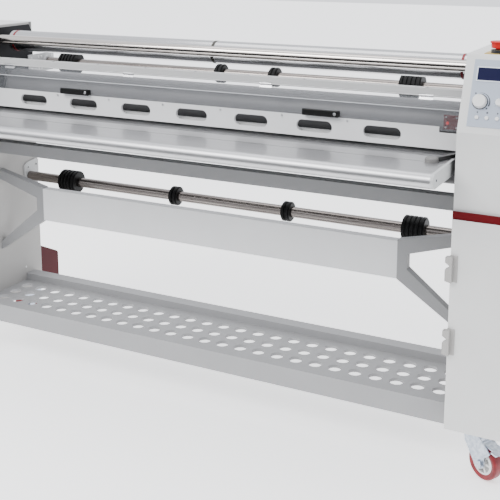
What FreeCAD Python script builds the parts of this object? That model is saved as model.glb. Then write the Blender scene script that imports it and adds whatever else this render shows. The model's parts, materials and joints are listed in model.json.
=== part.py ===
"""Cold roll laminator: two end cabinets on castors with the nip rollers, table and guard between them.

Frame: millimetres, +Z up, floor at Z = 0, X across the machine, the operator stands at -Y.
Every piece is a solid of its own; identical or mirrored small pieces share one node.
"""
import FreeCAD, Part
import math
import os

from FreeCAD import Vector

os.makedirs("parts", exist_ok=True)

# ---------------------------------------------------------------- driving dimensions
INNER_X = 860.0          # half of the clear width between the two side frames
CABINET_WIDTH = 204.0
OUTER_X = INNER_X + CABINET_WIDTH
SHEET = 2.5              # cabinet sheet thickness
FRAME_PLATE = 8.0        # side frame plate thickness
COVER = 3.0              # charcoal inner cover thickness
RUNNING = 0.05           # radial clearance of a shaft in its bearing
GAP = 0.4                # gap between moving neighbours
CLEARANCE = 1.0          # gap around a shaft that only passes through

BASE_Z = 152.0           # underside of the cabinets
STRIPE_Z0 = 752.0
STRIPE_Z1 = 773.0
FOLD_Z = 985.0           # where the front face folds back into the control face
TOP_Z = 1183.0
LOWER_FRONT_Y = -182.0
UPPER_FRONT_Y = -172.0
TOP_FRONT_Y = -94.0
BACK_Y = 212.0
CORNER_DROP = 27.0       # chamfer at the side frame's upper rear corner
CORNER_RUN = 15.0

NIP_Z = 904.7
ROLLER_R = 60.0
ROLLER_Y = 68.0
ROLLER_HALF = 815.0
NIP_GAP = 0.4
CORE_R = 50.0            # steel core under the rubber
JOURNAL_R = 20.0
LIFT = 28.0              # travel of the upper roller

TABLE_Z1 = 902.0
TABLE_Z0 = 861.0
TABLE_NOSE_Y = -327.0
TABLE_REAR_Y = -79.0
TABLE_HALF = 838.0
END_CAP = 8.0
TABLE_PIVOT = (-82.0, 866.0)
TABLE_PIN_R = 6.0

BED_Y0, BED_Y1 = -70.0, 26.0
BED_Z0 = 878.0

TRAY_Z = 200.0
TRAY_LIP_Z = 136.0
TRAY_REAR_LIP_Z = 180.0
TRAY_FRONT_Y = -126.0
TRAY_STEP_Y = 122.0
TRAY_BACK_Y = 168.0
TRAY_STEP = 24.0
TRAY_SHEET = 2.5
HOLE_PITCH = 65.0
HOLE_R = 21.5
HOLE_COLUMNS = 26
HOLE_ROWS = (68.0, 4.0, -60.0)

BEAM_HALF = 656.0
BEAM_Y0, BEAM_Y1 = -7.0, 22.0
BEAM_Z0, BEAM_Z1 = 496.0, 613.0

GUARD_AXIS = (-51.0, 1056.0)         # Y, Z
GUARD_HALF = 853.0
GUARD_SHEET = 5.0
SLOT_PLATE_Y = -74.0
SLOT_PLATE_Z0, SLOT_PLATE_Z1 = 913.0, 976.0
SLOT_PITCH = 207.4
SLOT_COUNT = 7
SLOT_LENGTH = 112.0
SLOT_HEIGHT = 35.0
NOTCH_X = 786.0
NOTCH_DEPTH = 16.0
PANEL_TOP = (-51.0, 1052.0)         # rear upper edge of the clear panel
PANEL_BEND = (-66.5, 1021.5)        # where its rear face bends
HINGE_X = (-740.0, -247.0, 247.0, 740.0)
HINGE_R = 4.0
HINGE_PIN_R = 2.5
INTERLOCK_X0, INTERLOCK_X1 = 795.0, 837.0
INTERLOCK_Y = -64.0                 # front face of the interlock plate
INTERLOCK_Z0, INTERLOCK_Z1 = 968.0, 1008.0
PLUNGER = (806.0, 986.0)            # X, Z

IDLER = (79.0, 1125.0, 36.5)        # Y, Z, radius
GUIDE_ROD = (6.0, 1136.0, 16.0)
SUPPLY = (283.0, 1025.0, 17.5)
TAKEUP = (159.0, 603.0, 17.5)
SHAFT_JOURNAL_R = 10.0
CHUCK_R = 41.0            # its ribs grip inside a 76 mm core
CHUCK_LENGTH = 70.0
COLLAR_R = 33.0
COLLAR_LENGTH = 30.0
SUPPLY_CHUCKS = (-736.0, 596.0)
SUPPLY_COLLARS = (-89.0, 117.0)
TAKEUP_CHUCKS = (-658.0, 658.0)
TAKEUP_COLLARS = (-204.0, 226.0)
SHAFT_BRACKET = 6.0

WHEEL_R = 50.0
WHEEL_HALF = 16.0
TRAIL = 35.0
AXLE_R = 6.0
CASTORS = {              # swivel X, swivel Y, direction of the trail in degrees
    "front_right": (935.5, -103.0, -29.4),
    "front_left": (-935.5, -103.0, -150.0),
    "rear_right": (950.0, 258.0, -55.0),
    "rear_left": (-950.0, 258.0, -100.0),
}

INLET_Z = 400.0
FOOT_BACK_Y = 320.0
FOOT_X0, FOOT_X1 = 866.0, 1036.0

BUTTONS = {"button_reverse": 907.0, "button_stop": 932.5, "button_start": 959.0}
BUTTON_R = 5.2
BUTTON_ALONG = 43.0      # distance of the button row up the slope
KNOBS_X = (910.0, 961.0)
KNOB_ALONG = 85.0
SPINDLE_R = 3.0
ESTOP = (937.0, -66.0)   # X, Y
ESTOP_R = 24.5

SLOPE = Vector(0, TOP_FRONT_Y - UPPER_FRONT_Y, TOP_Z - FOLD_Z)
SLOPE_LENGTH = SLOPE.Length
SLOPE_ANGLE = math.degrees(math.atan2(SLOPE.y, SLOPE.z))


# ---------------------------------------------------------------- helpers
def box(x0, x1, y0, y1, z0, z1):
    return Part.makeBox(x1 - x0, y1 - y0, z1 - z0, Vector(x0, y0, z0))


def rod_x(x0, x1, y, z, radius):
    return Part.makeCylinder(radius, x1 - x0, Vector(x0, y, z), Vector(1, 0, 0))


def rod_z(x, y, z0, z1, radius):
    return Part.makeCylinder(radius, z1 - z0, Vector(x, y, z0), Vector(0, 0, 1))


def rod_y(x, y0, y1, z, radius):
    return Part.makeCylinder(radius, y1 - y0, Vector(x, y0, z), Vector(0, 1, 0))


def prism_x(outline, x0, x1):
    """Extrudes a closed (Y, Z) outline from x0 to x1."""
    corners = [Vector(x0, y, z) for y, z in outline]
    face = Part.Face(Part.makePolygon(corners + corners[:1]))
    return face.extrude(Vector(x1 - x0, 0, 0))


def prism_y(outline, y0, y1):
    """Extrudes a closed (X, Z) outline from y0 to y1."""
    corners = [Vector(x, y0, z) for x, z in outline]
    face = Part.Face(Part.makePolygon(corners + corners[:1]))
    return face.extrude(Vector(0, y1 - y0, 0))


def join(shapes):
    solid = shapes[0]
    for shape in shapes[1:]:
        solid = solid.fuse(shape)
    return solid.removeSplitter()


def mirror(shape):
    """The same piece on the other end of the machine."""
    return shape.mirror(Vector(0, 0, 0), Vector(1, 0, 0))


def pair(shape):
    return [shape, mirror(shape)]


def save(node, shapes):
    shape = shapes[0] if len(shapes) == 1 else Part.makeCompound(shapes)
    for solid in shape.Solids:
        if not solid.isValid():
            print("invalid solid in", node)
    shape.exportStep("parts/" + node + ".step")


def round_edges(shape, radius, keep):
    """Fillets the edges for which keep(edge) is true."""
    return shape.makeFillet(radius, [edge for edge in shape.Edges if keep(edge)])


def runs_along(edge, axis):
    start = edge.Vertexes[0].Point
    end = edge.Vertexes[-1].Point
    run = end - start
    return run.Length > 1e-6 and abs(run.normalize().dot(axis)) > 0.999


X_AXIS = Vector(1, 0, 0)
Y_AXIS = Vector(0, 1, 0)
Z_AXIS = Vector(0, 0, 1)


# ---------------------------------------------------------------- cabinets and frames
def frame_outline(front, bottom, top):
    slope_run = TOP_FRONT_Y - UPPER_FRONT_Y
    fold_front = front
    top_front = front + slope_run * (top - FOLD_Z) / (TOP_Z - FOLD_Z)
    back = BACK_Y - SHEET
    return [(fold_front, bottom), (fold_front, FOLD_Z), (top_front, top),
            (back - CORNER_RUN, top), (back, top - CORNER_DROP), (back, bottom)]


def shaft_openings(x0, x1, extra):
    """Holes through a plate for everything that passes through it."""
    top_z = NIP_Z + NIP_GAP / 2 + ROLLER_R
    bottom_z = NIP_Z - NIP_GAP / 2 - ROLLER_R
    passage = JOURNAL_R + CLEARANCE
    return [
        rod_x(x0, x1, ROLLER_Y, bottom_z, passage),
        rod_x(x0, x1, ROLLER_Y, top_z, passage),
        rod_x(x0, x1, ROLLER_Y, top_z + LIFT, passage),
        box(x0, x1, ROLLER_Y - passage, ROLLER_Y + passage, top_z, top_z + LIFT),
        rod_x(x0, x1, IDLER[0], IDLER[1], SHAFT_JOURNAL_R + extra),
        rod_x(x0, x1, GUIDE_ROD[0], GUIDE_ROD[1], SHAFT_JOURNAL_R + extra),
        rod_x(x0, x1, TABLE_PIVOT[0], TABLE_PIVOT[1], TABLE_PIN_R + extra),
    ]


def make_side_frames():
    outline = frame_outline(UPPER_FRONT_Y + SHEET + 1, BASE_Z + SHEET, TOP_Z - SHEET)
    plate = prism_x(outline, INNER_X, INNER_X + FRAME_PLATE)
    for cut in shaft_openings(INNER_X - 1, INNER_X + FRAME_PLATE + 1, RUNNING):
        plate = plate.cut(cut)
    plate = plate.cut(rod_x(INNER_X - 1, INNER_X + 20, TAKEUP[0], TAKEUP[1], SHAFT_JOURNAL_R + CLEARANCE))
    save("side_frames", pair(plate))


def make_inner_covers():
    front = UPPER_FRONT_Y + 14
    outline = frame_outline(front, 796.0, TOP_Z - 10)
    plate = prism_x(outline, INNER_X - COVER, INNER_X)
    for cut in shaft_openings(INNER_X - COVER - 1, INNER_X + 1, CLEARANCE):
        plate = plate.cut(cut)
    bracket_room = box(INNER_X - 10, INNER_X + 1, 179, BACK_Y + 1, SUPPLY[1] - 35, SUPPLY[1] + 35)
    bed_room = box(INNER_X - 10, INNER_X + 1, BED_Y0 - 1, BED_Y1 + 1, BED_Z0 - 1, TABLE_Z1 + 1)
    plate = plate.cut(bracket_room).cut(bed_room)
    save("inner_covers", pair(plate))


def make_lower_cabinet():
    outer = box(INNER_X, OUTER_X, LOWER_FRONT_Y, BACK_Y, BASE_Z, STRIPE_Z0)
    outer = round_edges(outer, 3.0, lambda edge: runs_along(edge, Z_AXIS))
    inner = box(INNER_X - 1, OUTER_X - SHEET, LOWER_FRONT_Y + SHEET, BACK_Y - SHEET,
                BASE_Z + SHEET, STRIPE_Z0 + 1)
    shell = outer.cut(inner)
    x, y, _ = CASTORS["front_right"]
    return shell.cut(rod_z(x, y, BASE_Z - 1, BASE_Z + SHEET + 1, AXLE_R + CLEARANCE))


def make_upper_cabinet():
    outline = [(UPPER_FRONT_Y, STRIPE_Z1), (UPPER_FRONT_Y, FOLD_Z), (TOP_FRONT_Y, TOP_Z),
               (BACK_Y, TOP_Z), (BACK_Y, STRIPE_Z1)]
    outer = prism_x(outline, INNER_X, OUTER_X)
    outer = round_edges(outer, 3.0, lambda edge: runs_along(edge, X_AXIS)
                        and edge.BoundBox.ZMin > STRIPE_Z1 + 1)
    inset = [(UPPER_FRONT_Y + SHEET, STRIPE_Z1 - 1), (UPPER_FRONT_Y + SHEET, FOLD_Z - 1),
             (TOP_FRONT_Y + 1.7, TOP_Z - SHEET), (BACK_Y - SHEET, TOP_Z - SHEET),
             (BACK_Y - SHEET, STRIPE_Z1 - 1)]
    inner = prism_x(inset, INNER_X - 1, OUTER_X - SHEET)
    return outer.cut(inner)


def make_stripe():
    """U-shaped red band round the front, outer side and back, flush with the upper cabinet."""
    outer = box(INNER_X, OUTER_X - 1, UPPER_FRONT_Y - 7, BACK_Y, STRIPE_Z0, STRIPE_Z1)
    inner = box(INNER_X - 1, OUTER_X - 12, UPPER_FRONT_Y + SHEET, BACK_Y - SHEET,
                STRIPE_Z0 - 1, STRIPE_Z1 + 1)
    return outer.cut(inner)


def make_cabinets():
    lower = make_lower_cabinet()
    inlet_hole = box(929, 999, BACK_Y - 5, BACK_Y + 5, INLET_Z - 18, INLET_Z + 18)
    save("cabinet_lower_right", [lower.cut(inlet_hole)])
    save("cabinet_lower_left", [mirror(lower)])
    upper = make_upper_cabinet()
    save("cabinet_upper_right", [upper.cut(control_holes())])
    save("cabinet_upper_left", [mirror(upper)])
    save("cabinet_stripes", pair(make_stripe()))


def make_rear_feet():
    outline = [(BACK_Y, BASE_Z), (FOOT_BACK_Y, BASE_Z), (FOOT_BACK_Y, 249), (FOOT_BACK_Y - 8, 258),
               (BACK_Y, 308)]
    foot = prism_x(outline, FOOT_X0, FOOT_X1)
    inset = [(BACK_Y + 4, BASE_Z + 4), (FOOT_BACK_Y - 4, BASE_Z + 4), (FOOT_BACK_Y - 4, 247),
             (FOOT_BACK_Y - 10, 254), (BACK_Y + 4, 301)]
    foot = foot.cut(prism_x(inset, FOOT_X0 + 4, FOOT_X1 - 4))
    x, y, _ = CASTORS["rear_right"]
    foot = foot.cut(rod_z(x, y, BASE_Z - 1, BASE_Z + 5, AXLE_R + CLEARANCE))
    save("rear_feet", pair(foot))


# ---------------------------------------------------------------- stretchers between the frames
def make_tray():
    outline = [
        (TRAY_FRONT_Y, TRAY_LIP_Z), (TRAY_FRONT_Y, TRAY_Z), (TRAY_STEP_Y, TRAY_Z),
        (TRAY_STEP_Y, TRAY_Z + TRAY_STEP), (TRAY_BACK_Y, TRAY_Z + TRAY_STEP),
        (TRAY_BACK_Y, TRAY_REAR_LIP_Z), (TRAY_BACK_Y - TRAY_SHEET, TRAY_REAR_LIP_Z),
        (TRAY_BACK_Y - TRAY_SHEET, TRAY_Z + TRAY_STEP - TRAY_SHEET),
        (TRAY_STEP_Y + TRAY_SHEET, TRAY_Z + TRAY_STEP - TRAY_SHEET),
        (TRAY_STEP_Y + TRAY_SHEET, TRAY_Z - TRAY_SHEET),
        (TRAY_FRONT_Y + TRAY_SHEET, TRAY_Z - TRAY_SHEET), (TRAY_FRONT_Y + TRAY_SHEET, TRAY_LIP_Z),
    ]
    tray = prism_x(outline, -INNER_X, INNER_X)
    first = -HOLE_PITCH * (HOLE_COLUMNS - 1) / 2
    holes = [rod_z(first + HOLE_PITCH * column, y, TRAY_Z - 5, TRAY_Z + 5, HOLE_R)
             for column in range(HOLE_COLUMNS) for y in HOLE_ROWS]
    save("tray", [tray.cut(Part.makeCompound(holes))])


def make_beams():
    wall = 3.0
    beam = box(-BEAM_HALF, BEAM_HALF, BEAM_Y0, BEAM_Y1, BEAM_Z0, BEAM_Z1)
    beam = round_edges(beam, 2.0, lambda edge: runs_along(edge, X_AXIS))
    hollow = box(-BEAM_HALF - 1, BEAM_HALF + 1, BEAM_Y0 + wall, BEAM_Y1 - wall,
                 BEAM_Z0 + wall, BEAM_Z1 - wall)
    save("front_beam", [beam.cut(hollow)])

    fork_x = BEAM_HALF + 30
    outline = [(BEAM_HALF, BEAM_Z0), (INNER_X, 359), (INNER_X, 389), (fork_x, 530),
               (fork_x, 576), (INNER_X, 629), (INNER_X, 661), (BEAM_HALF, BEAM_Z1 + 2)]
    save("beam_brackets", pair(prism_y(outline, BEAM_Y0, BEAM_Y1)))

    y0, y1, z0, z1 = -32.0, 8.0, 731.0, 774.0
    cross = box(-INNER_X, INNER_X, y0, y1, z0, z1)
    cross = round_edges(cross, 2.0, lambda edge: runs_along(edge, X_AXIS))
    hollow = box(-INNER_X - 1, INNER_X + 1, y0 + wall, y1 - wall, z0 + wall, z1 - wall)
    save("crossbeam", [cross.cut(hollow)])

    lip_depth = 8.0
    rib_y0, rib_y1 = -30.0, 5.0
    bed = box(-INNER_X, INNER_X, BED_Y0, BED_Y1, TABLE_Z1 - wall, TABLE_Z1)
    lip = box(-INNER_X, INNER_X, BED_Y0, BED_Y0 + wall, TABLE_Z1 - lip_depth, TABLE_Z1)
    rib = box(-INNER_X, INNER_X, rib_y0, rib_y1, BED_Z0, TABLE_Z1)
    inside = box(-INNER_X - 1, INNER_X + 1, rib_y0 + wall, rib_y1 - wall, BED_Z0 + wall, TABLE_Z1 - wall)
    save("feed_bed", [join([bed, lip, rib.cut(inside)])])


def make_shaft_brackets():
    supply_y, supply_z, _ = SUPPLY
    plate = box(INNER_X - SHAFT_BRACKET, INNER_X, 180, 327, supply_z - 34, supply_z + 34)
    plate = round_edges(plate, 10.0, lambda edge: runs_along(edge, X_AXIS) and edge.BoundBox.YMin > 300)
    hub = rod_x(INNER_X - 16, INNER_X, supply_y, supply_z, 24)
    supply = join([plate, hub]).cut(rod_x(800, 900, supply_y, supply_z, SHAFT_JOURNAL_R + RUNNING))

    takeup_y, takeup_z, _ = TAKEUP
    outline = [(130, 575), (130, 646), (142, 655), (203, 664), (209, 656), (209, 575)]
    plate = prism_x(outline, INNER_X - SHAFT_BRACKET, INNER_X)
    takeup = plate.cut(rod_x(800, 900, takeup_y, takeup_z, SHAFT_JOURNAL_R + RUNNING))
    for y, z in ((151, 636), (196, 640)):
        takeup = takeup.cut(rod_x(800, 900, y, z, 4))
    save("shaft_brackets", pair(supply) + pair(takeup))


def make_shaft_cradles():
    """A flange on the cabinet's front face and a block with a V notch that is open to the inner side."""
    height = 74.0
    notch = 46.0
    depth = 16.0
    face = LOWER_FRONT_Y
    left, tip, right = INNER_X - 10, INNER_X + 4, INNER_X + 8
    cradles = []
    for z0 in (580.0, 373.0):
        flange = box(INNER_X, INNER_X + 20, face - 3, face, z0, z0 + height)
        outline = [(right, z0), (left, z0 + 4), (left, z0 + notch - 10), (tip, z0 + notch),
                   (left, z0 + notch + 10), (left, z0 + height - 4), (right, z0 + height)]
        cradles.append(join([flange, prism_y(outline, face - depth, face)]))
    save("shaft_cradles", [shape for cradle in cradles for shape in pair(cradle)])


# ---------------------------------------------------------------- guard
def make_guard_rail():
    y, z = GUARD_AXIS
    front = box(-INNER_X + COVER, INNER_X - COVER, y - 1, y + 2, z + 3, z + 20)
    top = box(-INNER_X + COVER, INNER_X - COVER, y - 1, y + 29, z + 17, z + 20)
    web = box(-INNER_X + COVER, INNER_X - COVER, y, y + 2, z + 1, z + 4)
    rail = join([front, top, web])
    for x in HINGE_X:
        rail = rail.cut(rod_x(x - 21, x + 21, y, z, HINGE_R + 0.6))
    pin = rod_x(-INNER_X + COVER, INNER_X - COVER, y, z, HINGE_PIN_R)
    save("guard_rail", [join([rail, pin])])


def make_guard_panel():
    """Clear sheet, bent once: vertical below, leaning back above."""
    top_y, top_z = PANEL_TOP
    bend_y, bend_z = PANEL_BEND
    face = SLOT_PLATE_Y + SHEET
    low_z = 965.0
    outline = [(face, low_z), (face, bend_z + 1.5), (top_y - GUARD_SHEET, top_z), PANEL_TOP,
               PANEL_BEND, (bend_y, low_z)]
    save("guard_panel", [prism_x(outline, -GUARD_HALF, GUARD_HALF)])


def guard_hinge(x):
    """A knuckle round the rail's pin, with a leaf on the back of the leaning part of the panel."""
    y, z = GUARD_AXIS
    top = Vector(0, *PANEL_TOP)
    down = (Vector(0, *PANEL_BEND) - top).normalize()
    back = Vector(0, -down.z, down.y)
    leaf_sheet = 1.5
    start, end = top - down * 2, top + down * 8
    corners = [start, end, end + back * leaf_sheet, start + back * leaf_sheet]
    leaf = prism_x([(corner.y, corner.z) for corner in corners], x - 20, x + 20)
    knuckle = rod_x(x - 20, x + 20, y, z, HINGE_R)
    return join([knuckle, leaf]).cut(rod_x(x - 21, x + 21, y, z, HINGE_PIN_R + RUNNING))


def make_guard_fittings():
    """The guard's hinges and the screws along the slotted plate."""
    fittings = [guard_hinge(x) for x in HINGE_X]
    for x in slot_places()[:-1]:
        fittings.append(rod_y(x + SLOT_PITCH / 2, SLOT_PLATE_Y - 1.5, SLOT_PLATE_Y, 969, 3))
    save("guard_fittings", fittings)


def slot_shape(x, y0, y1, grow):
    radius = SLOT_HEIGHT / 2 + grow
    z = (SLOT_PLATE_Z0 + SLOT_PLATE_Z1) / 2
    reach = SLOT_LENGTH / 2 - SLOT_HEIGHT / 2
    return join([rod_y(x - reach, y0, y1, z, radius), rod_y(x + reach, y0, y1, z, radius),
                 box(x - reach, x + reach, y0, y1, z - radius, z + radius)])


def slot_places():
    first = -SLOT_PITCH * (SLOT_COUNT - 1) / 2
    return [first + SLOT_PITCH * index for index in range(SLOT_COUNT)]


def make_slot_plate():
    y = SLOT_PLATE_Y
    collar_depth = 9.0
    plate = box(-GUARD_HALF, GUARD_HALF, y, y + SHEET, SLOT_PLATE_Z0, SLOT_PLATE_Z1)
    lip = box(-GUARD_HALF, GUARD_HALF, y, y + 12, SLOT_PLATE_Z0, SLOT_PLATE_Z0 + SHEET)
    collars = [slot_shape(x, y, y + collar_depth, 1.5) for x in slot_places()]
    plate = join([plate, lip] + collars)
    cuts = [slot_shape(x, y - 1, y + collar_depth + 1, 0) for x in slot_places()]
    cuts.append(box(NOTCH_X, GUARD_HALF + 1, y - 1, y + 3, SLOT_PLATE_Z1 - NOTCH_DEPTH, SLOT_PLATE_Z1 + 1))
    save("guard_slot_plate", [plate.cut(Part.makeCompound(cuts))])


def make_guard_trim():
    handles = []
    face = SLOT_PLATE_Y + SHEET
    for x in (-439.0, 439.0):
        grip = box(x - 55, x + 55, face - 20, face - 12, 978, 998)
        grip = round_edges(grip, 3.0, lambda edge: runs_along(edge, X_AXIS))
        feet = [box(x + side * 46 - 9, x + side * 46 + 9, face - 14, face, 980, 996) for side in (-1, 1)]
        handles.append(join([grip] + feet))
    save("guard_handles", handles)

    plunger_x, plunger_z = PLUNGER
    back = INTERLOCK_Y + 4
    plate = box(INTERLOCK_X0, INTERLOCK_X1, INTERLOCK_Y, back, INTERLOCK_Z0, INTERLOCK_Z1)
    arm = box(INTERLOCK_X1, INNER_X - COVER, INTERLOCK_Y, back, INTERLOCK_Z0 + 12, INTERLOCK_Z1 - 8)
    plate = join([plate, arm]).cut(rod_y(plunger_x, INTERLOCK_Y - 1, back + 1, plunger_z, 4 + RUNNING))
    save("interlock_plate", [plate])
    pin = rod_y(plunger_x, INTERLOCK_Y - 1.8, back + 3, plunger_z, 4)
    flange = rod_y(plunger_x, back + 0.5, back + 3, plunger_z, 7)
    save("interlock_plunger", [join([pin, flange])])


def make_fixed_screws():
    """Screws along the guard rail's top and at the interlock plate's corners."""
    y, z = GUARD_AXIS
    screws = [rod_z(-740 + 185 * index, y + 6, z + 20, z + 22, 3.5) for index in range(9)]
    inset = 6.0
    for x in (INTERLOCK_X0 + inset, INTERLOCK_X1 - inset):
        for height in (INTERLOCK_Z0 + inset, INTERLOCK_Z1 - inset):
            screws.append(rod_y(x, INTERLOCK_Y - 1.8, INTERLOCK_Y, height, 2.8))
    save("fixed_screws", screws)


# ---------------------------------------------------------------- infeed table
def make_table():
    """Hollow extrusion with a half-round nose and three shallow grooves along its rear."""
    radius = (TABLE_Z1 - TABLE_Z0) / 2
    middle = (TABLE_Z1 + TABLE_Z0) / 2
    nose_y = TABLE_NOSE_Y + radius
    body = box(-TABLE_HALF, TABLE_HALF, nose_y, TABLE_REAR_Y, TABLE_Z0, TABLE_Z1)
    body = join([body, rod_x(-TABLE_HALF, TABLE_HALF, nose_y, middle, radius)])
    wall = 4.0
    body = body.cut(box(-TABLE_HALF - 1, TABLE_HALF + 1, nose_y, TABLE_REAR_Y - wall,
                        TABLE_Z0 + wall, TABLE_Z1 - wall))
    grooves = [box(-TABLE_HALF - 1, TABLE_HALF + 1, y, y + 3, TABLE_Z1 - 1.5, TABLE_Z1 + 1)
               for y in (-98.0, -112.0, -190.0)]
    save("infeed_table", [body.cut(Part.makeCompound(grooves))])

    x0, x1 = TABLE_HALF, TABLE_HALF + END_CAP
    cap = join([box(x0, x1, nose_y, TABLE_REAR_Y - 42, TABLE_Z0, TABLE_Z1),
                rod_x(x0, x1, nose_y, middle, radius)])
    save("table_end_caps", pair(cap))

    pivot_y, pivot_z = TABLE_PIVOT
    arm = join([box(x0, x1, TABLE_REAR_Y - 42, pivot_y, pivot_z - 10, pivot_z + 10),
                rod_x(x0, x1, pivot_y, pivot_z, 12),
                rod_x(x0, INNER_X - COVER - 1, pivot_y, pivot_z, 10),
                rod_x(x0, INNER_X + FRAME_PLATE, pivot_y, pivot_z, TABLE_PIN_R)])
    save("table_arms", pair(arm))


# ---------------------------------------------------------------- controls
def on_slope(shape, x, along, lift=0.0):
    """Moves a shape modelled on the XY plane to the sloped face, at a distance up the slope."""
    rotation = FreeCAD.Rotation(X_AXIS, 90 - SLOPE_ANGLE)
    unit = Vector(SLOPE).normalize()
    outward = Vector(0, -unit.z, unit.y)
    place = Vector(x, UPPER_FRONT_Y, FOLD_Z) + unit * along + outward * lift
    shape = shape.copy()
    shape.Placement = FreeCAD.Placement(place, rotation)
    return shape


def control_holes():
    """Holes for the push buttons and the knob spindles through the panel and the sheet behind it."""
    button_hole = Part.makeCylinder(BUTTON_R + GAP, 20)
    spindle_hole = Part.makeCylinder(SPINDLE_R + RUNNING, 20)
    holes = [on_slope(button_hole, x, BUTTON_ALONG, -10) for x in BUTTONS.values()]
    holes += [on_slope(spindle_hole, x, KNOB_ALONG, -10) for x in KNOBS_X]
    return Part.makeCompound(holes)


def make_controls():
    panel_thickness = 1.5
    panel_length = 180.0
    panel = on_slope(box(-81, 81, 0, panel_length, 0, panel_thickness), 964, 18)
    screen = box(-55, 55, 0, 34, 0, 1.0)
    save("control_panel", [panel.cut(control_holes())])
    save("lcd_screen", [on_slope(screen, 950, 142, panel_thickness)])

    spindle = Part.makeCylinder(SPINDLE_R, 14, Vector(0, 0, -12))
    knob = Part.makeCone(18.2, 16.5, 16).cut(box(-1, 1, 10, 20, 14.5, 17))
    dial = Part.makeCone(10.0, 9.0, 14).cut(box(-0.8, 0.8, 3, 12, 12.5, 15))
    for name, x, shape in zip(("speed_knob", "mode_knob"), KNOBS_X, (knob, dial)):
        save(name, [on_slope(join([shape, spindle]), x, KNOB_ALONG, panel_thickness + GAP)])
    for name, x in BUTTONS.items():
        cap = Part.makeCylinder(BUTTON_R, 10.5)
        cap = round_edges(cap, 1.2, lambda edge: edge.BoundBox.ZMin > 10)
        flange = Part.makeCylinder(BUTTON_R + 2.3, 2)
        save(name, [on_slope(join([cap, flange]), x, BUTTON_ALONG, -5.5)])

    make_emergency_stop()


def make_emergency_stop():
    """A yellow plate and collar, and a mushroom head that is pushed straight down."""
    x, y = ESTOP
    bore_floor = TOP_Z + 5
    collar_top = TOP_Z + 11
    rim_z0, rim_z1 = TOP_Z + 29, TOP_Z + 33
    plate = box(x - 34, x + 34, y - 24, y + 54, TOP_Z, TOP_Z + 2)
    base = join([plate, rod_z(x, y, TOP_Z, collar_top, 21)])
    save("estop_base", [base.cut(rod_z(x, y, bore_floor, collar_top + 1, 12))])
    head = Part.makeCone(21, 22, 14, Vector(x, y, collar_top + 4.5))
    rim = rod_z(x, y, rim_z0, rim_z1, ESTOP_R)
    rim = round_edges(rim, 2.2, lambda edge: edge.BoundBox.ZMin > rim_z1 - 1)
    stem = rod_z(x, y, bore_floor + 5, rim_z0, 10)
    save("estop_button", [join([head, rim, stem])])


# ---------------------------------------------------------------- rollers and shafts
def hollow_out(shaft, half, y, z, radius):
    """Empties a welded roller body; a small vent in one end disc opens the cavity."""
    disc = 15.0
    cavity = rod_x(-half + disc, half - disc, y, z, radius)
    vent = rod_x(half - disc - 1, half + 1, y + radius - 2, z, 1.5)
    return shaft.cut(cavity).cut(vent)


def make_rollers():
    top_z = NIP_Z + NIP_GAP / 2 + ROLLER_R
    bottom_z = NIP_Z - NIP_GAP / 2 - ROLLER_R
    for name, z, reach in (("top", top_z, 902.0), ("bottom", bottom_z, 950.0)):
        sleeve = rod_x(-ROLLER_HALF, ROLLER_HALF, ROLLER_Y, z, ROLLER_R)
        sleeve = sleeve.cut(rod_x(-ROLLER_HALF, ROLLER_HALF, ROLLER_Y, z, CORE_R))
        save(name + "_roller_sleeve", [sleeve])
        shaft = join([rod_x(-ROLLER_HALF, ROLLER_HALF, ROLLER_Y, z, CORE_R),
                      rod_x(-reach, reach, ROLLER_Y, z, JOURNAL_R)])
        save(name + "_roller_shaft", [hollow_out(shaft, ROLLER_HALF, ROLLER_Y, z, CORE_R - 8)])

    outside = INNER_X + FRAME_PLATE
    low = box(outside, outside + 24, ROLLER_Y - 45, ROLLER_Y + 45, bottom_z - 45, bottom_z + 45)
    low = low.cut(rod_x(outside - 1, outside + 25, ROLLER_Y, bottom_z, JOURNAL_R + RUNNING))
    save("bottom_bearings", pair(low))

    x0, x1 = outside + GAP, outside + GAP + 24
    block = box(x0, x1, ROLLER_Y - 35, ROLLER_Y + 35, top_z - 32, top_z + 32)
    block = block.cut(rod_x(x0 - 1, x1 + 1, ROLLER_Y, top_z, JOURNAL_R + RUNNING))
    rod_centre = (x0 + x1) / 2
    push_rod = rod_z(rod_centre, ROLLER_Y, top_z + 32, top_z + 80, 7)
    save("top_bearing_blocks", pair(join([block, push_rod])))

    barrel_z0 = top_z + 32 + LIFT + 6
    barrel = rod_z(rod_centre, ROLLER_Y, barrel_z0, barrel_z0 + 84, 11.5)
    foot = box(outside, rod_centre + 11, ROLLER_Y - 25, ROLLER_Y + 25, barrel_z0, barrel_z0 + 10)
    cylinder = join([barrel, foot])
    cylinder = cylinder.cut(rod_z(rod_centre, ROLLER_Y, barrel_z0 - 1, barrel_z0 + 60, 7 + RUNNING))
    save("lift_cylinders", pair(cylinder))

    motor_x = 914.0
    gearbox = box(motor_x, motor_x + 60, ROLLER_Y - 50, ROLLER_Y + 50, bottom_z - 55, bottom_z + 55)
    motor = Part.makeCylinder(45, 150, Vector(motor_x + 48, ROLLER_Y, bottom_z - 205), Z_AXIS)
    foot = box(outside, motor_x + 20, ROLLER_Y - 50, ROLLER_Y + 50, bottom_z - 75, bottom_z - 55)
    socket = rod_x(motor_x - 1, 951, ROLLER_Y, bottom_z, JOURNAL_R + RUNNING)
    save("drive_motor", [join([gearbox, motor, foot]).cut(socket)])


def shaft_with_journals(place, reach, body_half):
    y, z, radius = place
    shaft = join([rod_x(-body_half, body_half, y, z, radius),
                  rod_x(-reach, reach, y, z, SHAFT_JOURNAL_R)])
    return hollow_out(shaft, body_half, y, z, radius - 3.5)


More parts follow.
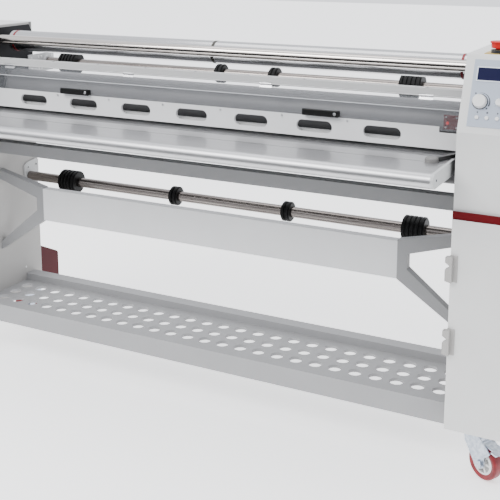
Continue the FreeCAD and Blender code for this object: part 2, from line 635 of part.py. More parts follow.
def chuck(x, place, length, radius, ribs):
    """Core chuck or collar: a hub with round ribs, clamped on the shaft."""
    y, z, shaft_radius = place
    rib_pitch = length / ribs
    rib = rib_pitch * 0.55
    pieces = [rod_x(x - length / 2, x + length / 2, y, z, radius - 4)]
    for index in range(ribs):
        start = x - length / 2 + rib_pitch * index + (rib_pitch - rib) / 2
        pieces.append(rod_x(start, start + rib, y, z, radius))
    return join(pieces).cut(rod_x(x - length, x + length, y, z, shaft_radius))


def make_shafts():
    stop = INNER_X - COVER
    tube = rod_x(-825, 825, IDLER[0], IDLER[1], IDLER[2])
    tube = join([tube, rod_x(-INNER_X - FRAME_PLATE, INNER_X + FRAME_PLATE, IDLER[0], IDLER[1],
                             SHAFT_JOURNAL_R)])
    tube = hollow_out(tube, 825, IDLER[0], IDLER[1], IDLER[2] - 3)
    save("idler_tube", [tube])
    rod = shaft_with_journals(GUIDE_ROD, INNER_X + FRAME_PLATE, stop - 1)
    save("guide_rod", [rod])

    save("supply_shaft", [shaft_with_journals(SUPPLY, INNER_X, INNER_X - 17)])
    chucks = [chuck(x, SUPPLY, CHUCK_LENGTH, CHUCK_R, 5) for x in SUPPLY_CHUCKS]
    chucks += [chuck(x, SUPPLY, COLLAR_LENGTH, COLLAR_R, 2) for x in SUPPLY_COLLARS]
    save("supply_chucks", chucks)

    save("takeup_shaft", [shaft_with_journals(TAKEUP, INNER_X + 6, INNER_X - SHAFT_BRACKET - 1)])
    chucks = [chuck(x, TAKEUP, CHUCK_LENGTH, CHUCK_R, 5) for x in TAKEUP_CHUCKS]
    chucks += [chuck(x, TAKEUP, COLLAR_LENGTH, COLLAR_R, 2) for x in TAKEUP_COLLARS]
    save("takeup_chucks", chucks)


# ---------------------------------------------------------------- castors
def castor_pieces():
    """Fork, wheel and brake pedal, modelled with the trail along +X and the swivel on the Z axis."""
    inside = WHEEL_HALF + 3
    outside = inside + 4
    leg = [(-30, 124), (-24, 96), (TRAIL - 26, 50), (TRAIL - 12, 36), (TRAIL, 34), (TRAIL + 14, 44),
           (TRAIL + 14, 74), (TRAIL + 26, 82), (TRAIL + 34, 92), (30, 124)]
    legs = [prism_y(leg, inside, outside), prism_y(leg, -outside, -inside)]
    crown = box(-30, 30, -outside, outside, 120, 125)
    race = rod_z(0, 0, 125, BASE_Z - GAP, 29)
    stem = rod_z(0, 0, 139, BASE_Z + 16, AXLE_R)
    nut = rod_z(0, 0, BASE_Z + 4.5, BASE_Z + 13, 9)
    axle = rod_y(TRAIL, -outside - 7, outside + 7, WHEEL_R, AXLE_R)
    heads = [rod_y(TRAIL, outside, outside + 7, WHEEL_R, 9), rod_y(TRAIL, -outside - 7, -outside, WHEEL_R, 9)]
    fork = join(legs + [crown, race, stem, nut, axle] + heads)

    wheel = rod_y(TRAIL, -WHEEL_HALF, WHEEL_HALF, WHEEL_R, WHEEL_R)
    wheel = round_edges(wheel, 4.0, lambda edge: edge.Curve.TypeId == "Part::GeomCircle")
    wheel = wheel.cut(rod_y(TRAIL, -20, 20, WHEEL_R, AXLE_R + RUNNING))

    hinge_x, hinge_z, pin_r = 36, 110, 2
    pin = rod_y(hinge_x, -inside - 1, inside + 1, hinge_z, pin_r)
    pedal = prism_y([(34, 108), (34, 112), (92, 102), (98, 106), (100, 103), (93, 98)], -17.5, 17.5)
    wing = prism_y([(76, 100.8), (76, 104.8), (92, 102), (98, 106), (100, 103), (93, 98)], -27, 27)
    pedal = join([pedal, wing, rod_y(hinge_x, -17.5, 17.5, hinge_z, 4.5)])
    pedal = pedal.cut(rod_y(hinge_x, -18, 18, hinge_z, pin_r + RUNNING))
    return {"fork": fork, "fork with brake pin": join([fork, pin]), "wheel": wheel, "brake": pedal}


def make_castors():
    pieces = castor_pieces()
    for name, (x, y, heading) in CASTORS.items():
        placement = FreeCAD.Placement(Vector(x, y, 0), FreeCAD.Rotation(Z_AXIS, heading))
        if name.startswith("front"):
            chosen = {"fork": "fork with brake pin", "wheel": "wheel", "brake": "brake"}
        else:
            chosen = {"fork": "fork", "wheel": "wheel"}
        for piece, shape in chosen.items():
            placed = pieces[shape].copy()
            placed.Placement = placement
            save("castor_" + piece + "_" + name, [placed])


def make_power_inlet():
    flange = box(925, 1003, BACK_Y, BACK_Y + 3, INLET_Z - 22, INLET_Z + 22)
    body = box(930, 998, BACK_Y - 32, BACK_Y, INLET_Z - 17, INLET_Z + 17)
    socket = box(935, 962, BACK_Y - 18, BACK_Y + 4, INLET_Z - 11, INLET_Z + 11)
    rocker = box(970, 992, BACK_Y, BACK_Y + 7, INLET_Z - 10, INLET_Z + 10)
    save("power_inlet", [join([flange, body, rocker]).cut(socket)])


make_side_frames()
make_inner_covers()
make_cabinets()
make_rear_feet()
make_tray()
make_beams()
make_shaft_brackets()
make_shaft_cradles()
make_guard_rail()
make_guard_panel()
make_guard_fittings()
make_slot_plate()
make_guard_trim()
make_fixed_screws()
make_table()
make_controls()
make_rollers()
make_shafts()
make_castors()
make_power_inlet()
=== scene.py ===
"""Looks of the cold roll laminator: materials for the CAD nodes, small pieces, floor, light and camera."""

import json
import math

import bmesh
import bpy
from mathutils import Matrix, Vector


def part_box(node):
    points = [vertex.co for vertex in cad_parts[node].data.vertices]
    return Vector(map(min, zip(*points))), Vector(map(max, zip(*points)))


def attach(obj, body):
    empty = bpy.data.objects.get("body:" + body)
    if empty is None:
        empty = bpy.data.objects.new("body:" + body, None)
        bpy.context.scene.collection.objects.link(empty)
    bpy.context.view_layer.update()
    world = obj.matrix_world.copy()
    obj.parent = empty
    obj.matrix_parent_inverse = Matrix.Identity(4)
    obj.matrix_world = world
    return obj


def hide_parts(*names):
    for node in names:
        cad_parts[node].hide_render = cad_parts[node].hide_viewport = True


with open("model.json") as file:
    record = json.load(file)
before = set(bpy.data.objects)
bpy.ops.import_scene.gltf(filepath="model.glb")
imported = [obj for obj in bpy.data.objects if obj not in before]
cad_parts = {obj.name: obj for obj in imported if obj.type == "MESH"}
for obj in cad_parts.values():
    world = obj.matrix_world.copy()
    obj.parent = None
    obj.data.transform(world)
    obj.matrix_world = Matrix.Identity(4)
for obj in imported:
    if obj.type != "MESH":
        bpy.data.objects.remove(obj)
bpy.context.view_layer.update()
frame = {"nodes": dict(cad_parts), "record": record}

# ---------------------------------------------------------------- places taken from the CAD, in metres
FOLD = Vector((0.0, -0.172, 0.985))          # lower front edge of the control face
TOP_EDGE = Vector((0.0, -0.094, 1.183))      # upper edge of the control face
UP_SLOPE = (TOP_EDGE - FOLD).normalized()
OUT_OF_SLOPE = Vector((0.0, -UP_SLOPE.z, UP_SLOPE.y))
PANEL_THICKNESS = 0.0015
KNOB_X, DIAL_X, KNOB_ALONG = 0.910, 0.961, 0.085
BUTTON_XS = (0.907, 0.9325, 0.959)
BUTTON_ALONG = 0.043
IDLER_Y, IDLER_Z, IDLER_R = 0.079, 1.125, 0.0365
SUPPLY_Y, SUPPLY_Z = 0.283, 1.025
TAKEUP_Y, TAKEUP_Z = 0.159, 0.603
INNER_X = 0.860
CASTORS = {                                  # swivel x, swivel y, direction of the trail in degrees
    "front_right": (0.9355, -0.103, -29.4),
    "front_left": (-0.9355, -0.103, -150.0),
    "rear_right": (0.950, 0.258, -55.0),
    "rear_left": (-0.950, 0.258, -100.0),
}
TRAIL, WHEEL_R, WHEEL_HALF = 0.035, 0.050, 0.016
HOLE_PITCH, HOLE_COLUMNS, HOLE_R = 0.065, 26, 0.0215
HOLE_ROWS = (0.068, 0.004, -0.060)
TRAY_STEP, TRAY_SHEET = 0.024, 0.0025
COVER = 0.003                                # thickness of the charcoal inner covers
BRACKET = 0.006                              # thickness of the shaft brackets
GUARD_FACE_Y, GUARD_BEND_Z = -0.0715, 1.023  # front face of the clear panel, and its bend


# ---------------------------------------------------------------- material helpers
def new_material(name, colour, roughness, metallic=0.0, **sockets):
    material = bpy.data.materials.new(name)
    material.use_nodes = True
    shader = material.node_tree.nodes["Principled BSDF"]
    shader.inputs["Base Color"].default_value = (*colour, 1.0)
    shader.inputs["Roughness"].default_value = roughness
    shader.inputs["Metallic"].default_value = metallic
    for socket, value in sockets.items():
        shader.inputs[socket.replace("_", " ")].default_value = value
    return material


def noise_node(material, scale, stretch=(1, 1, 1)):
    """Noise in the object's own metres, stretched by dividing the scale along each axis."""
    nodes, links = material.node_tree.nodes, material.node_tree.links
    place = nodes.new("ShaderNodeTexCoord")
    mapping = nodes.new("ShaderNodeMapping")
    mapping.inputs["Scale"].default_value = [1.0 / s for s in stretch]
    noise = nodes.new("ShaderNodeTexNoise")
    noise.inputs["Scale"].default_value = scale
    noise.inputs["Detail"].default_value = 3.0
    links.new(place.outputs["Object"], mapping.inputs["Vector"])
    links.new(mapping.outputs["Vector"], noise.inputs["Vector"])
    return noise


def add_bump(material, scale, strength, distance=0.0004, stretch=(1, 1, 1)):
    nodes, links = material.node_tree.nodes, material.node_tree.links
    noise = noise_node(material, scale, stretch)
    bump = nodes.new("ShaderNodeBump")
    bump.inputs["Strength"].default_value = strength
    bump.inputs["Distance"].default_value = distance
    links.new(noise.outputs["Fac"], bump.inputs["Height"])
    links.new(bump.outputs["Normal"], nodes["Principled BSDF"].inputs["Normal"])
    return material


def add_shades(material, dark, light, scale, stretch=(1, 1, 1)):
    """Base colour that wanders between two shades."""
    nodes, links = material.node_tree.nodes, material.node_tree.links
    noise = noise_node(material, scale, stretch)
    ramp = nodes.new("ShaderNodeValToRGB")
    ramp.color_ramp.elements[0].position = 0.35
    ramp.color_ramp.elements[0].color = (*dark, 1.0)
    ramp.color_ramp.elements[1].position = 0.65
    ramp.color_ramp.elements[1].color = (*light, 1.0)
    links.new(noise.outputs["Fac"], ramp.inputs["Fac"])
    links.new(ramp.outputs["Color"], nodes["Principled BSDF"].inputs["Base Color"])
    return material


def paint(name, colour, roughness=0.42, texture=0.12, shine=0.5):
    """Powder coat with a fine orange-peel texture."""
    material = new_material(name, colour, roughness, Specular_IOR_Level=shine)
    shade = 0.96
    darker = tuple(channel * shade for channel in colour)
    add_shades(material, darker, colour, 9.0)
    return add_bump(material, 900.0, texture)


def drawn_metal(name, dark, light, roughness, grain=(40, 1, 1), strength=0.15):
    """Metal with a grain that runs along the piece."""
    material = new_material(name, light, roughness, 1.0)
    add_shades(material, dark, light, 700.0, grain)
    return add_bump(material, 1200.0, strength, 0.0002, grain)


def coated(material, weight, roughness):
    """A clear layer over the finish, for a faint sharp reflection on top of the broad one."""
    shader = material.node_tree.nodes["Principled BSDF"]
    shader.inputs["Coat Weight"].default_value = weight
    shader.inputs["Coat Roughness"].default_value = roughness
    return material


def plastic(name, colour, roughness=0.4, texture=0.05, shine=0.5):
    return add_bump(new_material(name, colour, roughness, Specular_IOR_Level=shine), 1500.0, texture)


MATERIALS = {
    "cabinet_paint": paint("cabinet_paint", (0.72, 0.72, 0.705), 0.5, 0.16),
    "stripe_red": paint("stripe_red", (0.11, 0.0, 0.003), 0.5, 0.12, 0.2),
    "cover_charcoal": paint("cover_charcoal", (0.012, 0.012, 0.014), 0.5, 0.12, 0.15),
    "frame_grey": paint("frame_grey", (0.40, 0.39, 0.375), 0.5, 0.12, 0.3),
    "foot_red": paint("foot_red", (0.055, 0.0, 0.003), 0.5, 0.25, 0.2),
    "tray_grey": paint("tray_grey", (0.33, 0.33, 0.335), 0.45, 0.08, 0.3),
    "beam_paint": paint("beam_paint", (0.66, 0.665, 0.67), 0.45, 0.08),
    "bracket_grey": paint("bracket_grey", (0.25, 0.252, 0.256), 0.45, 0.08, 0.3),
    "bed_steel": paint("bed_steel", (0.14, 0.14, 0.142), 0.6, 0.12, 0.2),
    "bracket_steel": paint("bracket_steel", (0.48, 0.48, 0.48), 0.4),
    "rail_grey": paint("rail_grey", (0.55, 0.55, 0.545), 0.4, 0.05),
    "screw_steel": new_material("screw_steel", (0.62, 0.62, 0.63), 0.3, 1.0),
    "clear_sheet": new_material("clear_sheet", (0.55, 0.57, 0.60), 0.10, Alpha=0.085,
                                Specular_IOR_Level=0.2),
    "slot_plate_white": paint("slot_plate_white", (0.72, 0.72, 0.72), 0.4, 0.06),
    "handle_grey": plastic("handle_grey", (0.004, 0.004, 0.004), 0.4, 0.05, 0.25),
    "interlock_grey": plastic("interlock_grey", (0.07, 0.003, 0.003), 0.5, 0.2, 0.1),
    "interlock_red": plastic("interlock_red", (0.75, 0.02, 0.02), 0.3),
    "table_aluminium": coated(drawn_metal("table_aluminium", (0.47, 0.47, 0.48), (0.56, 0.56, 0.57), 0.40,
                                          (120, 1, 1), 0.04), 0.5, 0.06),
    "end_cap_white": plastic("end_cap_white", (0.52, 0.53, 0.53), 0.45),
    "arm_dark": plastic("arm_dark", (0.05, 0.05, 0.05), 0.4),
    "panel_blue": plastic("panel_blue", (0.40, 0.45, 0.54), 0.5),
    "screen_navy": new_material("screen_navy", (0.003, 0.004, 0.035), 0.5, Specular_IOR_Level=0.1),
    "knob_white": plastic("knob_white", (0.78, 0.78, 0.77), 0.4),
    "button_white": plastic("button_white", (0.80, 0.80, 0.80), 0.35),
    "estop_yellow": plastic("estop_yellow", (0.55, 0.38, 0.09), 0.45),
    "estop_red": plastic("estop_red", (0.50, 0.010, 0.008), 0.45, 0.05, 0.3),
    "roller_rubber": plastic("roller_rubber", (0.13, 0.13, 0.134), 0.42, 0.1),
    "roller_steel": drawn_metal("roller_steel", (0.38, 0.38, 0.38), (0.5, 0.5, 0.5), 0.3),
    "bearing_iron": paint("bearing_iron", (0.12, 0.12, 0.125), 0.5),
    "cylinder_aluminium": drawn_metal("cylinder_aluminium", (0.6, 0.6, 0.6), (0.7, 0.7, 0.7), 0.3,
                                      (1, 1, 40)),
    "idler_aluminium": drawn_metal("idler_aluminium", (0.50, 0.50, 0.505), (0.62, 0.62, 0.625), 0.2,
                                   (200, 1, 1), 0.05),
    "rod_chrome": drawn_metal("rod_chrome", (0.50, 0.45, 0.41), (0.68, 0.65, 0.62), 0.14,
                              (300, 1, 1), 0.03),
    "shaft_steel": drawn_metal("shaft_steel", (0.15, 0.13, 0.12), (0.33, 0.30, 0.28), 0.22,
                               (120, 1, 1), 0.08),
    "chuck_black": plastic("chuck_black", (0.002, 0.002, 0.002), 0.5, 0.2, 0.2),
    "motor_grey": paint("motor_grey", (0.12, 0.125, 0.14), 0.45),
    "inlet_black": plastic("inlet_black", (0.012, 0.012, 0.012), 0.4),
    "castor_zinc": drawn_metal("castor_zinc", (0.42, 0.47, 0.55), (0.62, 0.67, 0.74), 0.32, (6, 6, 6), 0.1),
    "wheel_red": add_bump(add_shades(new_material("wheel_red", (0.2, 0.004, 0.008), 0.4),
                                     (0.13, 0.002, 0.005), (0.22, 0.004, 0.009), 60.0), 500.0, 0.12),
}

# finishes of small pieces that share a slot with a CAD node, and the pale colour of the painted highlight
# on the clear panel's bend
RING_RED = plastic("ring_red", (0.20, 0.008, 0.014), 0.4)
BAND_DARK = plastic("band_dark", (0.03, 0.028, 0.02), 0.45)
PRINT_GREY = plastic("print_grey", (0.05, 0.055, 0.07), 0.5)
BEZEL_LIGHT = plastic("bezel_light", (0.66, 0.70, 0.76), 0.45)
SCREW_WHITE = new_material("screw_white", (0.80, 0.80, 0.80), 0.3, 0.6)
COLLAR_BLACK = plastic("collar_black", (0.02, 0.02, 0.022), 0.4)
PAD_GREY = plastic("pad_grey", (0.16, 0.155, 0.15), 0.4)
FLAG_DARK = new_material("flag_dark", (0.03, 0.03, 0.03), 0.9, Specular_IOR_Level=0.0)
# painted highlight: the pale half-clear colour of the strip on the clear panel's bend, standing in for the
# light it catches
PAINTED_HIGHLIGHT_PALE = new_material("painted_bend_highlight", (0.80, 0.82, 0.84), 0.2, Alpha=0.55)
HUB_WHITE = plastic("hub_white", (0.72, 0.72, 0.71), 0.4)


def dress_cad_nodes():
    """Gives every CAD node the material of its record slot."""
    slots = {part["node"]: part["material_slot"] for part in frame["record"]["subparts"]}
    for name, node in frame["nodes"].items():
        node.data.materials.clear()
        node.data.materials.append(MATERIALS[slots[name]])


# ---------------------------------------------------------------- mesh helpers
def add_piece(name, mesh, body, slot, material=None):
    """A visible piece that rides on a CAD body and takes the material given, or else the finish of a record
    slot.
    """
    piece = bpy.data.objects.new(name, mesh)
    bpy.context.scene.collection.objects.link(piece)
    mesh.materials.append(material or MATERIALS[slot])
    for face in mesh.polygons:
        face.use_smooth = True
    mesh.set_sharp_from_angle(angle=math.radians(35))
    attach(piece, body)
    return piece


def mesh_from(name, build):
    """Runs build(bm) on an empty bmesh and returns the mesh."""
    bm = bmesh.new()
    build(bm)
    bmesh.ops.recalc_face_normals(bm, faces=bm.faces)
    mesh = bpy.data.meshes.new(name)
    bm.to_mesh(mesh)
    bm.free()
    return mesh


def add_box(bm, low, high, turn=Matrix.Identity(4)):
    """A box between two corners, in the frame given by turn."""
    low, high = Vector(low), Vector(high)
    size = high - low
    place = turn @ Matrix.Translation((low + high) / 2) @ Matrix.Diagonal((*size, 1.0))
    bmesh.ops.create_cube(bm, size=1.0, matrix=place)


def add_lathe(bm, profile, place, segments=48):
    """Turns a closed (radius, height) outline round the Z axis of place."""
    rings = []
    for index in range(segments):
        angle = 2 * math.pi * index / segments
        across, up = math.cos(angle), math.sin(angle)
        rings.append([bm.verts.new(place @ Vector((r * across, r * up, z))) for r, z in profile])
    for index, ring in enumerate(rings):
        following = rings[(index + 1) % segments]
        for i in range(len(profile)):
            j = (i + 1) % len(profile)
            bm.faces.new((ring[i], ring[j], following[j], following[i]))


def add_prism(bm, outline, height, place):
    """Extrudes an (x, y) outline by height along the Z axis of place."""
    low = [bm.verts.new(place @ Vector((x, y, 0.0))) for x, y in outline]
    high = [bm.verts.new(place @ Vector((x, y, height))) for x, y in outline]
    bm.faces.new(low)
    bm.faces.new(high)
    for i in range(len(outline)):
        j = (i + 1) % len(outline)
        bm.faces.new((low[i], low[j], high[j], high[i]))


def polygon(count, radius, turn=0.0):
    steps = [turn + 2 * math.pi * index / count for index in range(count)]
    return [(radius * math.cos(angle), radius * math.sin(angle)) for angle in steps]


def frame_at(origin, x_axis, z_axis):
    """A matrix with its origin, X and Z axes as given."""
    x_axis, z_axis = Vector(x_axis).normalized(), Vector(z_axis).normalized()
    y_axis = z_axis.cross(x_axis)
    matrix = Matrix((x_axis, y_axis, z_axis)).transposed().to_4x4()
    matrix.translation = origin
    return matrix


def slope_frame(x, along):
    """A place on the control panel: X across, Y up the slope, Z out of it."""
    origin = FOLD + UP_SLOPE * along + OUT_OF_SLOPE * PANEL_THICKNESS + Vector((x, 0, 0))
    return frame_at(origin, (1, 0, 0), OUT_OF_SLOPE)


def add_screw(bm, place, radius, height):
    """A low domed head with a round socket."""
    socket = radius * 0.45
    profile = [(socket, height * 0.35), (socket, height), (radius * 0.75, height), (radius, height * 0.55),
               (radius, 0.0), (socket, 0.0)]
    add_lathe(bm, profile, place, 20)
    add_prism(bm, polygon(20, socket), height * 0.35, place)


# ---------------------------------------------------------------- rollers and shafts
def make_idler_rings():
    along_x = Matrix.Rotation(math.pi / 2, 4, "Y")

    def ring(bm, x, width, lift):
        place = Matrix.Translation((x - width / 2, IDLER_Y, IDLER_Z)) @ along_x
        outer = IDLER_R + lift
        inner = IDLER_R - 0.001
        add_lathe(bm, [(inner, 0), (outer, 0), (outer, width), (inner, width)], place, 64)

    red = mesh_from("idler_end_rings", lambda bm: [ring(bm, x, 0.007, 0.0008) for x in (-0.806, 0.811)])
    add_piece("idler_end_rings", red, "idler", "interlock_red", RING_RED)
    dark = mesh_from("idler_band", lambda bm: ring(bm, 0.008, 0.010, 0.0005))
    add_piece("idler_band", dark, "idler", "chuck_black", BAND_DARK)


# ---------------------------------------------------------------- controls
def make_screen_bezel():
    low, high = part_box("lcd_screen")
    across = (low.x + high.x) / 2
    half_width, half_height, rim, lift = (high.x - low.x) / 2, 0.017, 0.003, 0.0016
    place = slope_frame(across, 0.142 + half_height)

    def build(bm):
        outer_x, outer_y = half_width + rim, half_height + rim
        for side in (-1, 1):
            strip = sorted((side * half_width, side * outer_x))
            add_box(bm, (strip[0], -outer_y, 0), (strip[1], outer_y, lift), place)
            strip = sorted((side * half_height, side * outer_y))
            add_box(bm, (-half_width, strip[0], 0), (half_width, strip[1], lift), place)

    add_piece("screen_bezel", mesh_from("screen_bezel", build), "frame", "panel_blue", BEZEL_LIGHT)


def make_dial_marks():
    """Printed marks round the big knob: a ring, a wedge that widens clockwise and a dot at both ends.

    A row of small dots goes round the other knob.
    """
    print_height = 0.0003
    place = slope_frame(KNOB_X, KNOB_ALONG)

    def arc(bm, start, stop, inner, outer_start, outer_stop):
        steps = 18
        for index in range(steps):
            a = math.radians(start + (stop - start) * index / steps)
            b = math.radians(start + (stop - start) * (index + 1) / steps)
            ra = outer_start + (outer_stop - outer_start) * index / steps
            rb = outer_start + (outer_stop - outer_start) * (index + 1) / steps
            outline = [(inner * math.cos(a), inner * math.sin(a)), (ra * math.cos(a), ra * math.sin(a)),
                       (rb * math.cos(b), rb * math.sin(b)), (inner * math.cos(b), inner * math.sin(b))]
            add_prism(bm, outline, print_height, place)

    def build(bm):
        add_lathe(bm, [(0.0183, 0), (0.0208, 0), (0.0208, print_height), (0.0183, print_height)], place, 64)
        arc(bm, 100, -25, 0.0235, 0.0238, 0.0275)
        for angle in (122, -42):
            turn = math.radians(angle)
            spot = place @ Matrix.Translation((0.0255 * math.cos(turn), 0.0255 * math.sin(turn), 0))
            add_prism(bm, polygon(20, 0.0022), print_height, spot)
        for angle in range(-30, 220, 31):
            turn = math.radians(angle)
            reach = Matrix.Translation((0.014 * math.cos(turn), 0.014 * math.sin(turn), 0))
            spot = slope_frame(DIAL_X, KNOB_ALONG) @ reach
            add_prism(bm, polygon(12, 0.0007), print_height, spot)

    add_piece("dial_marks", mesh_from("dial_marks", build), "frame", "panel_blue", PRINT_GREY)


def make_button_signs():
    """Plain signs above the buttons: a triangle to the left, a square and a triangle to the right."""
    print_height = 0.0003
    size = 0.0032

    def build(bm):
        shapes = (polygon(3, size, math.pi), polygon(4, size, math.pi / 4), polygon(3, size))
        for x, outline in zip(BUTTON_XS, shapes):
            add_prism(bm, outline, print_height, slope_frame(x, BUTTON_ALONG + 0.014))

    add_piece("button_signs", mesh_from("button_signs", build), "frame", "panel_blue", PRINT_GREY)


def make_estop_collar():
    """A black sleeve round the yellow collar, clear of the head when it is pushed down."""
    low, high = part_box("estop_base")
    button_low, button_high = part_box("estop_button")
    middle = (button_low + button_high) / 2
    place = Matrix.Translation((middle.x, middle.y, low.z + 0.002))
    height = high.z - low.z - 0.002
    profile = [(0.0125, height - 0.004), (0.0125, height + 0.0002), (0.0205, height + 0.0002),
               (0.0216, height - 0.0006), (0.0216, 0), (0.0205, 0), (0.0205, height - 0.004)]
    mesh = mesh_from("estop_collar", lambda bm: add_lathe(bm, profile, place))
    add_piece("estop_collar", mesh, "frame", "estop_yellow", COLLAR_BLACK)


# ---------------------------------------------------------------- table and guard
def make_table_details():
    """Screws in the end caps, and a pad with a bar at each rear corner."""
    cap_low, cap_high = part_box("table_end_caps")
    _, table_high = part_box("infeed_table")
    screw_y, screw_z = cap_low.y + 0.03, (cap_low.z + cap_high.z) / 2

    def caps(bm):
        for side in (-1, 1):
            place = frame_at(Vector((side * cap_high.x, screw_y, screw_z)), (0, 1, 0), (side, 0, 0))
            add_screw(bm, place, 0.0035, 0.0012)

    add_piece("cap_screws", mesh_from("cap_screws", caps), "table", "screw_steel", PRINT_GREY)

    pad_x, pad_y, pad_r, pad_height, bevel = table_high.x - 0.038, -0.185, 0.018, 0.012, 0.003

    def stop_pads(bm):
        """Low rounded pads on the table's rear corners."""
        for side in (-1, 1):
            place = Matrix.Translation((side * pad_x, pad_y, table_high.z))
            profile = [(0.0001, 0), (pad_r, 0), (pad_r, pad_height - bevel), (pad_r - bevel, pad_height),
                       (0.0001, pad_height)]
            add_lathe(bm, profile, place, 32)

    add_piece("table_stop_pads", mesh_from("table_stop_pads", stop_pads), "table", "arm_dark", PAD_GREY)

    def stop_arms(bm):
        """A bar from each pad towards the side frame; it swings with the table."""
        for side in (-1, 1):
            start = Vector((side * (pad_x + 0.006), pad_y + 0.013, table_high.z + 0.001))
            heading = Vector((side * 0.036, 0.078, 0))
            half_width, height = 0.007, 0.009
            place = frame_at(start, heading, (0, 0, 1))
            add_box(bm, (0, -half_width, 0), (heading.length, half_width, height), place)

    add_piece("table_stop_arms", mesh_from("table_stop_arms", stop_arms), "table", "arm_dark")


def make_sheet_guide():
    """The pale strip that shows low behind the slots of the guard."""
    low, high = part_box("guard_slot_plate")
    inset = 0.02
    front_y, back_y = -0.052, -0.030
    low_z, high_z = 0.9185, 0.9290

    def build(bm):
        add_box(bm, (low.x + inset, front_y, low_z), (high.x - inset, back_y, high_z))

    add_piece("sheet_guide", mesh_from("sheet_guide", build), "frame", "rail_grey")


def make_tray_collars():
    """The pressed collar under every hole of the tray."""
    depth, wall = 0.007, 0.0014
    _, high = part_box("tray")
    underside = high.z - TRAY_STEP - TRAY_SHEET
    outside = HOLE_R + wall
    profile = [(HOLE_R, -depth), (HOLE_R, 0.0001), (outside, 0.0001), (outside, -depth)]

    def build(bm):
        for y in HOLE_ROWS:
            for column in range(HOLE_COLUMNS):
                x = HOLE_PITCH * (column - (HOLE_COLUMNS - 1) / 2)
                add_lathe(bm, profile, Matrix.Translation((x, y, underside)), 24)

    add_piece("tray_collars", mesh_from("tray_collars", build), "frame", "tray_grey")


def make_painted_highlight_strip():
    """A pale half-clear strip along the bend of the clear panel: a painted highlight where the bend catches
    the light.
    """
    low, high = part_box("guard_panel")
    inset, half_height = 0.01, 0.0012

    def build(bm):
        start = (low.x + inset, GUARD_FACE_Y - 0.0003, GUARD_BEND_Z - half_height)
        end = (high.x - inset, GUARD_FACE_Y + 0.0002, GUARD_BEND_Z + half_height)
        add_box(bm, start, end)

    add_piece("painted_highlight_strip", mesh_from("painted_highlight_strip", build), "guard", "clear_sheet", PAINTED_HIGHLIGHT_PALE)


def make_handle_screws():
    """A bright screw at the right-hand end of each handle."""
    low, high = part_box("guard_handles")

    def build(bm):
        from_end, handle_length = 0.009, 0.110
        for x in (high.x - from_end, low.x + handle_length - from_end):
            place = frame_at(Vector((x, low.y, (low.z + high.z) / 2)), (1, 0, 0), (0, -1, 0))
            add_screw(bm, place, 0.0045, 0.002)

    add_piece("handle_screws", mesh_from("handle_screws", build), "guard", "screw_steel")


def make_cover_screws():
    """Screws that hold the charcoal covers and the side plates below them."""
    cover_spots = ((-0.065, 1.158), (0.185, 1.135), (-0.150, 0.965), (-0.150, 0.815), (0.190, 0.815),
                   (0.190, 0.940))
    plate_spots = ((0.150, 0.408), (0.190, 0.416), (0.120, 0.250), (-0.160, 0.250), (-0.160, 0.700))

    def build(bm):
        for side in (-1, 1):
            for y, z in cover_spots:
                place = frame_at(Vector((side * (INNER_X - COVER), y, z)), (0, 1, 0), (-side, 0, 0))
                add_screw(bm, place, 0.0035, 0.0015)
            for y, z in plate_spots:
                place = frame_at(Vector((side * INNER_X, y, z)), (0, 1, 0), (-side, 0, 0))
                add_screw(bm, place, 0.004, 0.0015)

    add_piece("cover_screws", mesh_from("cover_screws", build), "frame", "screw_steel", SCREW_WHITE)


def make_bracket_screws():
    """Two groups of four screws on each supply bracket: where it is bolted on, and round the shaft."""
    def build(bm):
        for side in (-1, 1):
            face = side * (INNER_X - BRACKET)
            spots = []
            for middle_y, reach in ((SUPPLY_Y - 0.066, 0.020), (SUPPLY_Y, 0.030)):
                spots += [(middle_y + dy, SUPPLY_Z + dz) for dy in (-reach, reach)
                          for dz in (-0.022, 0.022)]
            for y, z in spots:
                place = frame_at(Vector((face, y, z)), (0, 1, 0), (-side, 0, 0))
                add_screw(bm, place, 0.0045, 0.003)

    add_piece("bracket_screws", mesh_from("bracket_screws", build), "frame", "screw_steel", SCREW_WHITE)


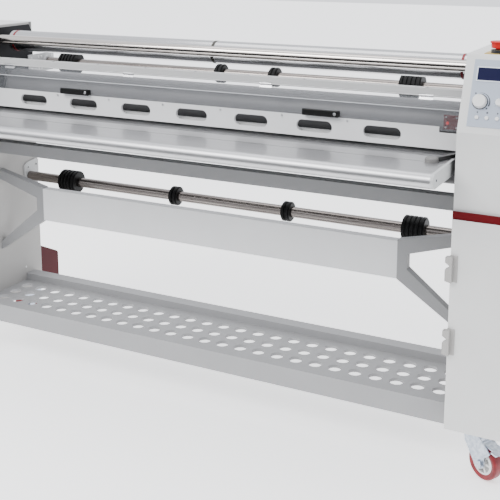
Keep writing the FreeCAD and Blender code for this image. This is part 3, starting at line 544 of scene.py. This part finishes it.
# ---------------------------------------------------------------- castors
def make_castor(name):
    """Tyre and spoked hub in place of the plain CAD wheel, and the nuts on the axle."""
    x, y, heading = CASTORS[name]
    heading = math.radians(heading)
    trail = Vector((math.cos(heading), math.sin(heading), 0))
    axle = Vector((-trail.y, trail.x, 0))
    centre = Vector((x, y, WHEEL_R)) + trail * TRAIL
    place = frame_at(centre, trail, axle)
    hub_r, half = 0.034, WHEEL_HALF

    def tyre(bm):
        profile = [(hub_r, -half + 0.003), (hub_r, half - 0.003)]
        corner, steps = 0.007, 6
        for index in range(steps + 1):
            angle = math.pi / 2 * index / steps
            reach, drop = corner * math.sin(angle), corner * math.cos(angle)
            profile.append((WHEEL_R - corner + reach, half - corner + drop))
        for index in range(steps + 1):
            angle = math.pi / 2 * index / steps
            reach, drop = corner * math.cos(angle), corner * math.sin(angle)
            profile.append((WHEEL_R - corner + reach, -half + corner - drop))
        add_lathe(bm, profile, place, 72)

    def hub(bm):
        bore = 0.0061
        add_lathe(bm, [(bore, -half), (bore, half), (0.012, half), (0.012, -half)], place)
        rim = [(0.028, -half + 0.001), (0.028, half - 0.001), (hub_r, half - 0.003), (hub_r, -half + 0.003)]
        add_lathe(bm, rim, place, 72)
        add_lathe(bm, [(0.011, -0.003), (0.011, 0.003), (0.029, 0.003), (0.029, -0.003)], place, 72)
        for index in range(6):
            turn = place @ Matrix.Rotation(2 * math.pi * index / 6, 4, "Z")
            add_box(bm, (0.0115, -0.003, -half + 0.002), (0.0285, 0.003, half - 0.002), turn)

    node = "castor_wheel_" + name
    piece = add_piece("castor_tyre_" + name, mesh_from("tyre", tyre), node, "wheel_red")
    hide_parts(node)
    add_piece("castor_hub_" + name, mesh_from("hub", hub), node, "wheel_red", HUB_WHITE)

    def nuts(bm):
        for side in (-1, 1):
            seat = frame_at(centre + axle * side * 0.0231, trail, axle * side)
            add_prism(bm, polygon(6, 0.0115), 0.0055, seat)

    add_piece("castor_nuts_" + name, mesh_from("nuts", nuts), "castor_fork_" + name, "castor_zinc")


# ---------------------------------------------------------------- stage
def make_stage():
    bpy.ops.mesh.primitive_plane_add(size=40.0, location=(0, 0, -0.0005))
    floor = bpy.context.object
    floor.name = "floor"
    floor_paint = new_material("floor_pale", (0.86, 0.86, 0.86), 0.8, Emission_Color=(1.0, 1.0, 1.0, 1.0),
                               Emission_Strength=1.1)
    floor.data.materials.append(floor_paint)

    def flag(name, low, high):
        """A dark card outside the view; polished metal shows it as a dark band."""
        card = bpy.data.objects.new(name, mesh_from(name, lambda bm: add_box(bm, low, high)))
        bpy.context.scene.collection.objects.link(card)
        card.data.materials.append(FLAG_DARK)

    flag("floor_flag", (-6.0, -6.0, 0.0), (6.0, -1.6, 0.002))
    flag("front_flag", (-6.0, -6.1, 0.0), (6.0, -6.0, 2.0))

    world = bpy.data.worlds.new("studio")
    bpy.context.scene.world = world
    world.use_nodes = True
    background = world.node_tree.nodes["Background"]
    background.inputs["Color"].default_value = (0.93, 0.95, 1.0, 1.0)
    background.inputs["Strength"].default_value = 1.6

    def area(name, place, target, size, power):
        light = bpy.data.lights.new(name, "AREA")
        light.shape = "RECTANGLE"
        light.size, light.size_y = size
        light.energy = power
        lamp = bpy.data.objects.new(name, light)
        bpy.context.scene.collection.objects.link(lamp)
        lamp.location = place
        lamp.rotation_euler = (Vector(target) - Vector(place)).to_track_quat("-Z", "Y").to_euler()

    area("key", (-1.5, -3.5, 4.0), (0, 0, 0.7), (3.0, 2.0), 220.0)
    area("top", (0.0, 0.5, 4.5), (0, 0, 0.8), (4.0, 2.0), 60.0)


def make_camera():
    camera_data = bpy.data.cameras.new("camera")
    camera_data.lens = 67.83
    camera_data.sensor_width = 36.0
    camera_data.shift_y = -0.25
    camera = bpy.data.objects.new("camera", camera_data)
    bpy.context.scene.collection.objects.link(camera)
    camera.location = (1.4791, -2.5562, 1.4662)
    camera.rotation_euler = [math.radians(angle) for angle in (79.119, 0.027, 27.159)]
    bpy.context.scene.camera = camera


dress_cad_nodes()
make_idler_rings()
make_screen_bezel()
make_dial_marks()
make_button_signs()
make_estop_collar()
make_table_details()
make_sheet_guide()
make_tray_collars()
make_painted_highlight_strip()
make_handle_screws()
make_cover_screws()
make_bracket_screws()
for castor_name in CASTORS:
    make_castor(castor_name)
make_stage()
make_camera()
